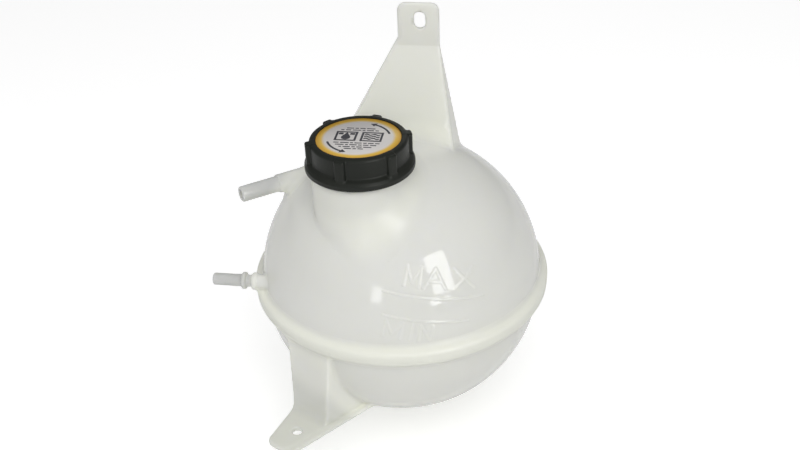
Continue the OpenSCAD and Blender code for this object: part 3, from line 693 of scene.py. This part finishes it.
GRID, FLAT_MERGE = 1.0, 0.04
MARK_ROUNDS = ((5.0, marks_near), (2.6, marks_near), (1.4, marks_close), (0.8, marks_close))
upper = field_mesh("tank_upper", upper_field, (-122, -99, -3), (99, 99, 172), GRID, FLAT_MERGE,
                   tank_upper, "tank", fine=MARK_ROUNDS)
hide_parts("upper_shell")
lower = field_mesh("tank_lower", lower_field, (-99, -120, -114), (99, 99, 3), GRID, FLAT_MERGE,
                   tank_lower, "tank")
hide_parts("lower_shell")

THREAD_R, THREAD_PITCH, THREAD_LO, THREAD_HI = 25.1, 4.0, 98.4, 108.4
THREAD_STEPS, THREAD_RUN_IN = 72, 12.0


def neck_thread():
    """A helical ridge round the neck."""
    root = NECK_R
    n = int((THREAD_HI - THREAD_LO) / THREAD_PITCH * THREAD_STEPS)
    points = []
    for i in range(n + 1):
        a = 2 * math.pi * i / THREAD_STEPS
        z = THREAD_LO + THREAD_PITCH * i / THREAD_STEPS
        crest = root + (THREAD_R - root) * min(1.0, i / THREAD_RUN_IN, (n - i) / THREAD_RUN_IN)
        for r, dz in ((root - 0.5, -1.15), (root, -1.0), (crest, -0.4),
                      (crest, 0.4), (root, 1.0), (root - 0.5, 1.15)):
            points.append((NECK[0] + r * math.cos(a), NECK[1] + r * math.sin(a), z + dz))
    add_mesh("neck_thread", place(points), tube_faces(n, 6), tank_upper, "tank",
             smooth_faces=False)


neck_thread()

# ---------------------------------------------------------------- cap

CAP_GRID, CAP_MERGE = 0.42, 0.02
cap = field_mesh("cap_body", cap_field, (-34, -34, 95.6), (34, 34, 117), CAP_GRID, CAP_MERGE,
                 cap_black, "cap", shift=(NECK[0], NECK[1], 0))
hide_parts("cap_shell")
FILM_TOP = LABEL_Z + 0.4
label = lathe_mesh("label_film", [(0, FILM_TOP), (LABEL_R - 0.15, FILM_TOP),
                                  (LABEL_R, FILM_TOP - 0.15), (LABEL_R, LABEL_Z), (0, LABEL_Z)],
                   NECK, label_print, "cap")
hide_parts("cap_label")


def flat_shapes(name, outlines, material):
    """Printed shapes on the label, each a thin plate over one outline."""
    points, faces = [], []
    for outline in outlines:
        base, n = len(points), len(outline)
        for z in (FILM_TOP + 0.04, FILM_TOP - 0.10):
            points += [(NECK[0] + x, NECK[1] + y, z) for x, y in outline]
        faces.append([base + i for i in range(n)])
        faces += [[base + i, base + n + i, base + n + (i + 1) % n, base + (i + 1) % n]
                  for i in range(n)]
    add_mesh(name, place(points), faces, material, "cap", smooth_faces=False)


def ring_part(r0, r1, a0, a1):
    return arc(0, 0, r1, a0, a1, 23) + arc(0, 0, r0, a1, a0, 23)


def drop(cx, cy, r):
    return arc(cx, cy, r, 160, 380, 27) + [(cx, cy + 2.3 * r)]


def wave(cx, cy, length, swing, width):
    mid = [(cx + length * (t - 0.5), cy + swing * math.sin(t * 4 * math.pi))
           for t in np.linspace(0, 1, 30)]
    return [(x, y + width / 2) for x, y in mid] + [(x, y - width / 2) for x, y in mid[::-1]]


def bar(x0, y0, x1, y1):
    return [(x0, y0), (x1, y0), (x1, y1), (x0, y1)]


def frame_bars(cx, cy, w, h, t):
    x0, x1, y0, y1 = cx - w / 2, cx + w / 2, cy - h / 2, cy + h / 2
    return [bar(x0, y0, x1, y0 + t), bar(x0, y1 - t, x1, y1), bar(x0, y0 + t, x0 + t, y1 - t),
            bar(x1 - t, y0 + t, x1, y1 - t)]


# Two framed pictures, rows of dashes above and below them, and two turning arrows at the rim, in
# millimetres from the label's centre. A row has its height and how far it reaches to each side.
PICTURE_X, PICTURE_Y, PICTURE_W, PICTURE_H, LINE = 7.6, 1.5, 12.8, 11.4, 1.3
ROWS = ((11.6, 9.0), (9.2, 12.0), (-6.6, 13.5), (-9.0, 12.0), (-11.4, 9.6), (-13.6, 6.0))
DASHES, DASH_GAP, DASH_HALF = (4.2, 2.0, 3.1, 5.0, 1.6), 0.9, 0.5
ARROW_R, ARROW_LINE, HEAD_HALF, ARROW_SWEEP, HEAD_SWEEP = 18.3, (17.6, 18.9), 2.1, 46, 11

prints = frame_bars(-PICTURE_X, PICTURE_Y, PICTURE_W, PICTURE_H, LINE)
prints += frame_bars(PICTURE_X, PICTURE_Y, PICTURE_W, PICTURE_H, LINE)
prints += [drop(-PICTURE_X, 0.0, 2.7), bar(-12.4, 3.2, -9.6, 5.4), bar(-5.6, 3.2, -2.8, 5.4)]
prints += [wave(PICTURE_X, -0.9 + 2.5 * k, 9.2, 0.6, LINE) for k in range(3)]
for row, (y, reach) in enumerate(ROWS):
    x, k = -reach, row
    while x < reach - 1.5:
        length = DASHES[k % len(DASHES)]
        prints.append(bar(x, y - DASH_HALF, min(x + length, reach), y + DASH_HALF))
        x, k = x + length + DASH_GAP, k + 1
for start in (20, 200):
    end = start + ARROW_SWEEP
    prints.append(ring_part(*ARROW_LINE, start, end))
    prints.append([(r * math.cos(math.radians(a)), r * math.sin(math.radians(a)))
                   for r, a in ((ARROW_R - HEAD_HALF, end), (ARROW_R + HEAD_HALF, end),
                                (ARROW_R, end + HEAD_SWEEP))])
flat_shapes("label_shapes", prints, ink)

# ---------------------------------------------------------------- springs

def coil(name, node, r, wire, z0, z1, turns, body):
    """A wire spring on the neck axis in place of a node, carried with its body."""
    steps, sides = 32, 12
    n = turns * steps
    points = []
    for i in range(n + 1):
        a = 2 * math.pi * i / steps
        z = z0 + wire + (z1 - z0 - 2 * wire) * i / n
        for k in range(sides):
            b = 2 * math.pi * k / sides
            out = r + wire * math.cos(b)
            points.append((NECK[0] + out * math.cos(a), NECK[1] + out * math.sin(a),
                           z + wire * math.sin(b)))
    spring = add_mesh(name, place(points), tube_faces(n, sides), steel, body)
    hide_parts(node)
    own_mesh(spring)


PLATE_TOP, RETAINER_Z, CLIP_Z = 96.1, 106.5, 100.9
coil("pressure_spring_coil", "pressure_spring", 12.6, 0.7, PLATE_TOP, RETAINER_Z, 5,
     "valve_insert")
coil("vacuum_spring_coil", "vacuum_spring", 2.6, 0.25, PLATE_TOP, CLIP_Z, 4,
     "pressure_valve")

# ---------------------------------------------------------------- CAD nodes that stay

for node, mat in (("valve_housing", insert_black), ("valve_retainer", insert_black),
                  ("cap_seal", rubber), ("pressure_valve_seal", rubber),
                  ("pressure_valve_plate", sheet_steel), ("vacuum_spring_seat", sheet_steel),
                  ("vacuum_valve", brass)):
    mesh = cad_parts[node].data
    mesh.materials.clear()
    mesh.materials.append(mat)

# ---------------------------------------------------------------- stage, in metres

BALL_CENTRE = Vector(place([0, 0, 0]))
WINDOW_AT = Vector((0.0225, -0.112, -0.110))
FLOOR_Z, FLOOR_SIZE, FLOOR_LIFT = -0.2715, 12.0, 0.42
FLOOR_IN_SHINY, SKY_IN_SHINY = 0.4, 0.24
SKY_TOWARD, SKY_FROM, SKY_TO = Vector((0.0, -0.72, 0.60)), (-0.6, 0.9), (0.10, 0.62)


def toward(azimuth, elevation, distance):
    """A place in a direction from WINDOW_AT; the photo's camera is near azimuth 10, elevation 35."""
    a, e = math.radians(azimuth), math.radians(elevation)
    out = Vector((math.sin(a) * math.cos(e), -math.cos(a) * math.cos(e), math.sin(e)))
    return WINDOW_AT + distance * out


def area(name, pos, target, size, power):
    data = bpy.data.lights.new(name, "AREA")
    data.shape, data.size, data.size_y = "RECTANGLE", size[0], size[1]
    data.energy = power
    obj = bpy.data.objects.new(name, data)
    obj.location = pos
    obj.rotation_euler = (Vector(target) - Vector(pos)).to_track_quat("-Z", "Y").to_euler()
    bpy.context.scene.collection.objects.link(obj)
    return obj


def seen_directly(tree, in_shiny):
    """One for what the camera sees, straight or through a clear surface, and in_shiny for what
    it sees in a shiny one."""
    rays = tree.nodes.new("ShaderNodeLightPath")
    shiny = maths(tree, "MULTIPLY", rays.outputs["Is Glossy Ray"], in_shiny)
    shiny = maths(tree, "MAXIMUM", shiny, rays.outputs["Is Transmission Ray"])
    return maths(tree, "MAXIMUM", rays.outputs["Is Camera Ray"], shiny)


floor_mat, floor_tree, floor_shader = new_material("floor")
noise_colour(floor_tree, floor_shader, (0.90, 0.90, 0.90), (0.91, 0.91, 0.91), 2.0)
floor_shader.inputs["Roughness"].default_value = 0.9
floor_shader.inputs["Emission Color"].default_value = (1, 1, 1, 1)
lift = maths(floor_tree, "MULTIPLY", seen_directly(floor_tree, FLOOR_IN_SHINY), FLOOR_LIFT)
floor_tree.links.new(lift, floor_shader.inputs["Emission Strength"])
bpy.ops.mesh.primitive_plane_add(size=FLOOR_SIZE, location=(0, 0, FLOOR_Z))
floor = bpy.context.object
floor.name = "floor"
floor.data.materials.append(floor_mat)

# The panes only show as reflections, and the soft lights only light.
for pane in (area("window_pane", toward(44, 26, 1.25), WINDOW_AT, (0.40, 0.72), 5.0),
             area("window_sill", toward(39, 4.6, 1.25), WINDOW_AT, (0.36, 0.10), 0.7),
             area("window_left", toward(-12, 13.5, 1.25), WINDOW_AT, (0.18, 0.28), 0.6)):
    pane.visible_diffuse = False
for soft in (area("top_soft", (-0.1, 0.0, 1.3), BALL_CENTRE, (1.6, 1.6), 3.0),
             area("front_soft", toward(18, 46, 1.7), WINDOW_AT, (1.1, 1.1), 11.2)):
    soft.visible_glossy = False

# The room is brighter in front and above than behind and below.
world = bpy.data.worlds.new("studio")
bpy.context.scene.world = world
world.use_nodes = True
sky = world.node_tree
spot = sky.nodes.new("ShaderNodeTexCoord")
side = sky.nodes.new("ShaderNodeVectorMath")
side.operation = "DOT_PRODUCT"
side.inputs[1].default_value = SKY_TOWARD.normalized()
shade = sky.nodes.new("ShaderNodeMapRange")
shade.inputs["From Min"].default_value, shade.inputs["From Max"].default_value = SKY_FROM
shade.inputs["To Min"].default_value, shade.inputs["To Max"].default_value = SKY_TO
sky.links.new(spot.outputs["Generated"], side.inputs[0])
sky.links.new(side.outputs["Value"], shade.inputs["Value"])
backdrop = maths(sky, "MAXIMUM", shade.outputs["Result"], seen_directly(sky, SKY_IN_SHINY))
sky.nodes["Background"].inputs["Color"].default_value = (1, 1, 1, 1)
sky.links.new(backdrop, sky.nodes["Background"].inputs["Strength"])

# The photo's camera
CAMERA_AT, CAMERA_ROLL = Vector((0.0879, -0.6000, 0.2327)), math.radians(-2.38)
LENS, SENSOR, SHIFT = 46.55, 36.0, (-0.002, 0.0559)
camera_data = bpy.data.cameras.new("camera")
camera = bpy.data.objects.new("camera", camera_data)
bpy.context.scene.collection.objects.link(camera)
camera.location = CAMERA_AT
aim = (BALL_CENTRE - camera.location).to_track_quat("-Z", "Y").to_matrix()
camera.rotation_euler = (aim @ Matrix.Rotation(CAMERA_ROLL, 3, "Z")).to_euler()
camera_data.lens, camera_data.sensor_width = LENS, SENSOR
camera_data.shift_x, camera_data.shift_y = SHIFT
bpy.context.scene.camera = camera
bpy.context.scene.view_settings.view_transform = "Standard"
